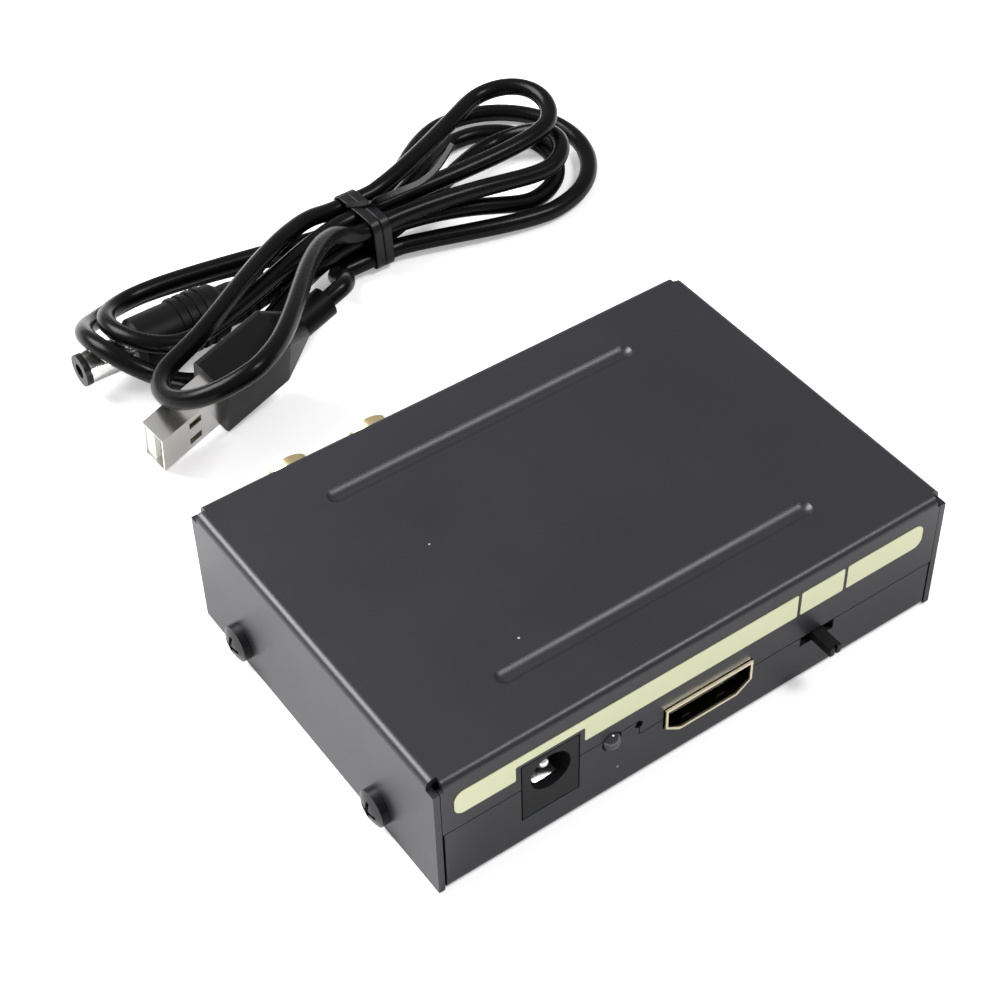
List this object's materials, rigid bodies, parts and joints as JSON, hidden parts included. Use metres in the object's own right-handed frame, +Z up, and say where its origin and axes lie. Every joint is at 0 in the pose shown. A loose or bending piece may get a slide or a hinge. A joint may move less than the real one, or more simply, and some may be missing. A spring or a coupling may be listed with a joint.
{
  "type": "audio extractor box",
  "caption": "Small folded-steel box that takes the sound out of a video link, with slide switch, phono and optical outputs and a power lead.",
  "frame": {"origin": "middle of the case's underside, on the table", "axes": "+X along the front to the right, +Y from the front face to the rear face, +Z up"},
  "size_m": [0.1152, 0.1431, 0.0238],
  "materials": {
    "black_steel": "satin black paint on folded sheet steel",
    "black_screw": "black oxide",
    "bright_steel": "plated steel",
    "gilt": "thin gold plate",
    "black_plastic": "moulded",
    "dark_plastic": "moulded",
    "light_dome": "smoked clear epoxy",
    "white_plastic": "moulded",
    "red_plastic": "moulded",
    "green_board": "solder mask",
    "red_lens": "clear red",
    "can_metal": "drawn can",
    "ceramic": "ceramic",
    "ferrite": "ferrite",
    "lead_rubber": "smooth flexible cable jacket",
    "plug_rubber": "moulded grip"
  },
  "bodies": {
    "case": {"top_cover": "black_steel", "bottom_tray": "black_steel", "case_screws": "black_screw", "standoffs": "bright_steel", "circuit_board": "green_board", "board_screws": "bright_steel", "dc_jack_body": "dark_plastic", "dc_jack_pin": "bright_steel", "dc_jack_spring": "bright_steel", "power_light": "light_dome", "light_leads": "bright_steel", "video_in_shell": "gilt", "video_in_tongue": "black_plastic", "video_in_contacts": "gilt", "video_out_shell": "gilt", "video_out_tongue": "black_plastic", "video_out_contacts": "gilt", "mode_switch_cover": "bright_steel", "mode_switch_base": "black_plastic", "mode_switch_terminals": "bright_steel", "audio_jack_housing": "black_plastic", "audio_jack_shells": "gilt", "audio_insert_left": "white_plastic", "audio_insert_right": "red_plastic", "audio_jack_contacts": "gilt", "optical_port_body": "black_plastic", "optical_flap_pin": "bright_steel", "optical_emitter": "red_lens", "video_chip": "black_plastic", "audio_chip": "black_plastic", "regulator": "black_plastic", "clock_crystal": "can_metal", "electrolytic_capacitors": "can_metal", "inductor": "ferrite", "ceramic_capacitors": "ceramic", "lead_hank": "lead_rubber", "lead_barrel_tail": "lead_rubber", "lead_flat_tail": "lead_rubber", "lead_tie": "black_plastic", "barrel_plug_body": "plug_rubber", "barrel_plug_sleeve": "bright_steel", "barrel_plug_tip": "black_plastic", "flat_plug_body": "plug_rubber", "flat_plug_shell": "bright_steel", "flat_plug_insert": "white_plastic", "flat_plug_contacts": "gilt"},
    "knob": {"mode_switch_knob": "black_plastic"},
    "flap": {"optical_port_flap": "black_plastic"}
  },
  "joints": [
    {"name": "mode_slide", "type": "slide", "parent": "case", "child": "knob", "axis": [1, 0, 0], "range_m": [-0.002, 0.002]},
    {"name": "flap_hinge", "type": "hinge", "parent": "case", "child": "flap", "pos_m": [0.0075, 0.0293, 0.0128], "axis": [-1, 0, 0], "range_deg": [0, 80], "stiffness_Nm_per_rad": 0.0002, "springref_deg": -17.19}
  ]
}
